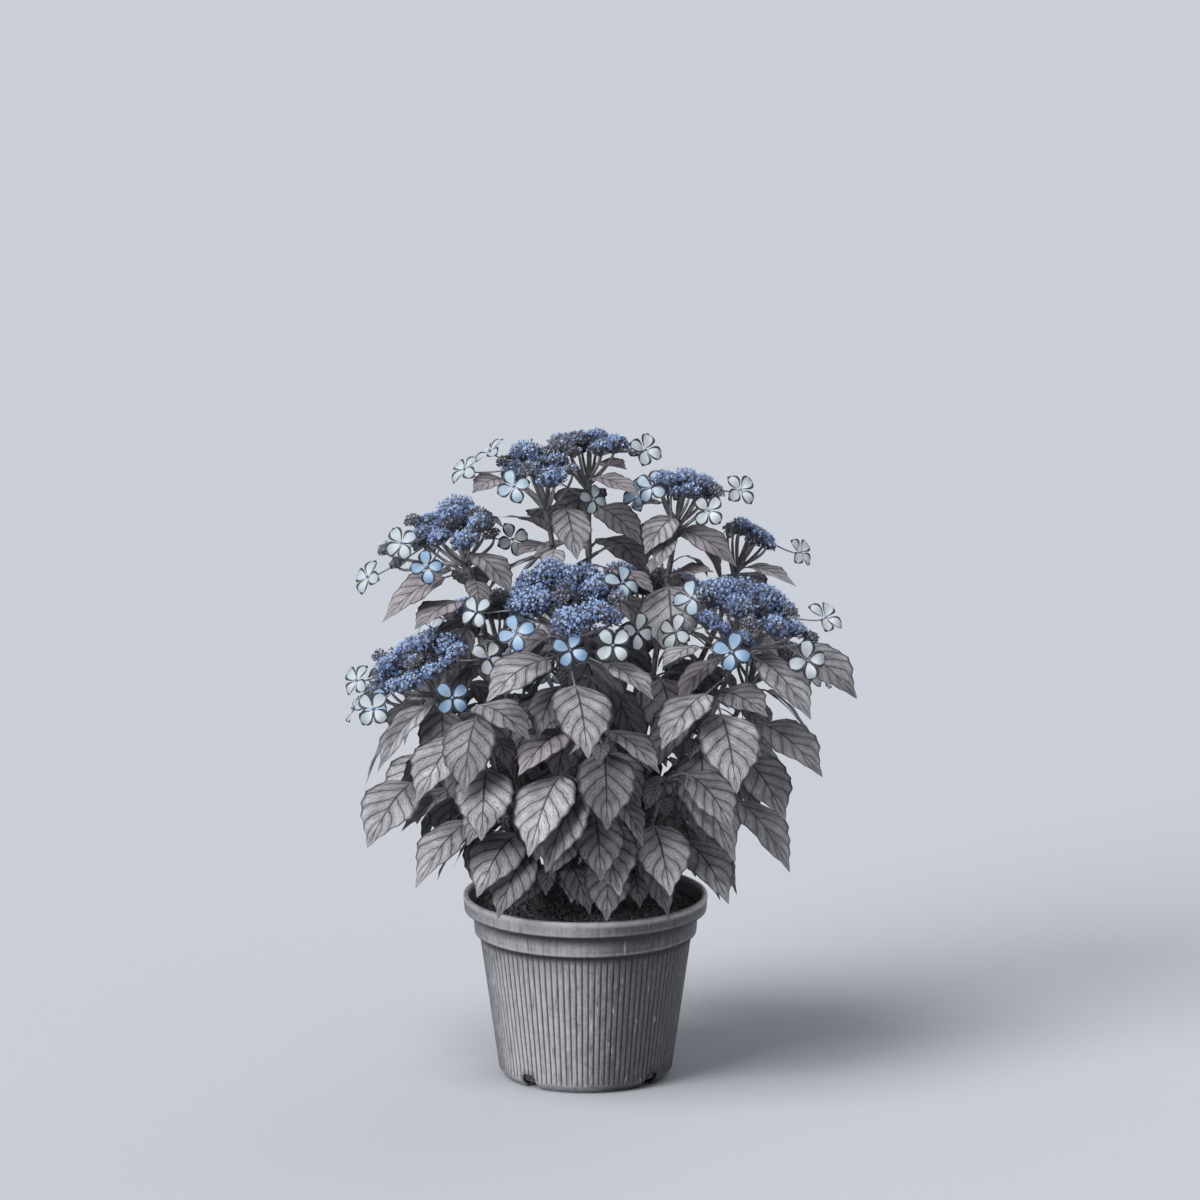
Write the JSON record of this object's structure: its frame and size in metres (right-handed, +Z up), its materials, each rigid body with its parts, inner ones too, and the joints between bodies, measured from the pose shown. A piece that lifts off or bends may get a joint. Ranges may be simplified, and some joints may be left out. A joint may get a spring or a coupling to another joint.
{
  "type": "potted lacecap hydrangea shrub",
  "caption": "Leafy garden shrub with flat blue lacecap flower heads, rooted in compost in a round tapered plastic nursery pot that stands on its flat underside.",
  "frame": {"origin": "centre of the pot's flat underside", "axes": "+Z up through the plant, -Y towards the side that faces the viewer, +X to the viewer's right"},
  "size_m": [0.5425, 0.5097, 0.6949],
  "materials": {
    "pot": "satin ribbed polypropylene",
    "compost": "moist crumbly compost",
    "bark": "rough peeling bark",
    "flowering_growth": "matt petals and leaves",
    "leafy_growth": "matt leaf"
  },
  "bodies": {
    "root": {"bough_back_left": "bark", "bough_back_right": "bark", "bough_far_right": "bark", "bough_front": "bark", "bough_left": "bark", "bough_low_back": "bark", "bough_low_back_left": "bark", "bough_low_back_right": "bark", "bough_lower_left": "bark", "bough_right": "bark", "bough_top": "bark", "bough_upper_left": "bark", "bough_upper_right": "bark", "cane_back": "bark", "cane_front": "bark", "cane_left": "bark", "cane_left_front": "bark", "cane_middle": "bark", "cane_right_back": "bark", "cane_right_front": "bark", "compost": "compost", "flowering_shoot_back_left": "flowering_growth", "flowering_shoot_back_right": "flowering_growth", "flowering_shoot_far_right": "flowering_growth", "flowering_shoot_front": "flowering_growth", "flowering_shoot_left": "flowering_growth", "flowering_shoot_low_back": "flowering_growth", "flowering_shoot_low_back_left": "flowering_growth", "flowering_shoot_low_back_right": "flowering_growth", "flowering_shoot_lower_left": "flowering_growth", "flowering_shoot_right": "flowering_growth", "flowering_shoot_top": "flowering_growth", "flowering_shoot_upper_left": "flowering_growth", "flowering_shoot_upper_right": "flowering_growth", "leafy_shoot_flank_1": "leafy_growth", "leafy_shoot_flank_2": "leafy_growth", "leafy_shoot_flank_3": "leafy_growth", "leafy_shoot_flank_4": "leafy_growth", "leafy_shoot_flank_6": "leafy_growth", "leafy_shoot_flank_7": "leafy_growth", "leafy_shoot_flank_8": "leafy_growth", "leafy_shoot_shoulder_1": "leafy_growth", "leafy_shoot_shoulder_2": "leafy_growth", "leafy_shoot_shoulder_3": "leafy_growth", "leafy_shoot_shoulder_4": "leafy_growth", "leafy_shoot_shoulder_5": "leafy_growth", "leafy_shoot_skirt_1": "leafy_growth", "leafy_shoot_skirt_2": "leafy_growth", "leafy_shoot_skirt_3": "leafy_growth", "leafy_shoot_skirt_4": "leafy_growth", "leafy_shoot_skirt_5": "leafy_growth", "leafy_shoot_skirt_6": "leafy_growth", "leafy_shoot_skirt_7": "leafy_growth", "leafy_shoot_skirt_8": "leafy_growth", "pot": "pot"}
  },
  "joints": []
}
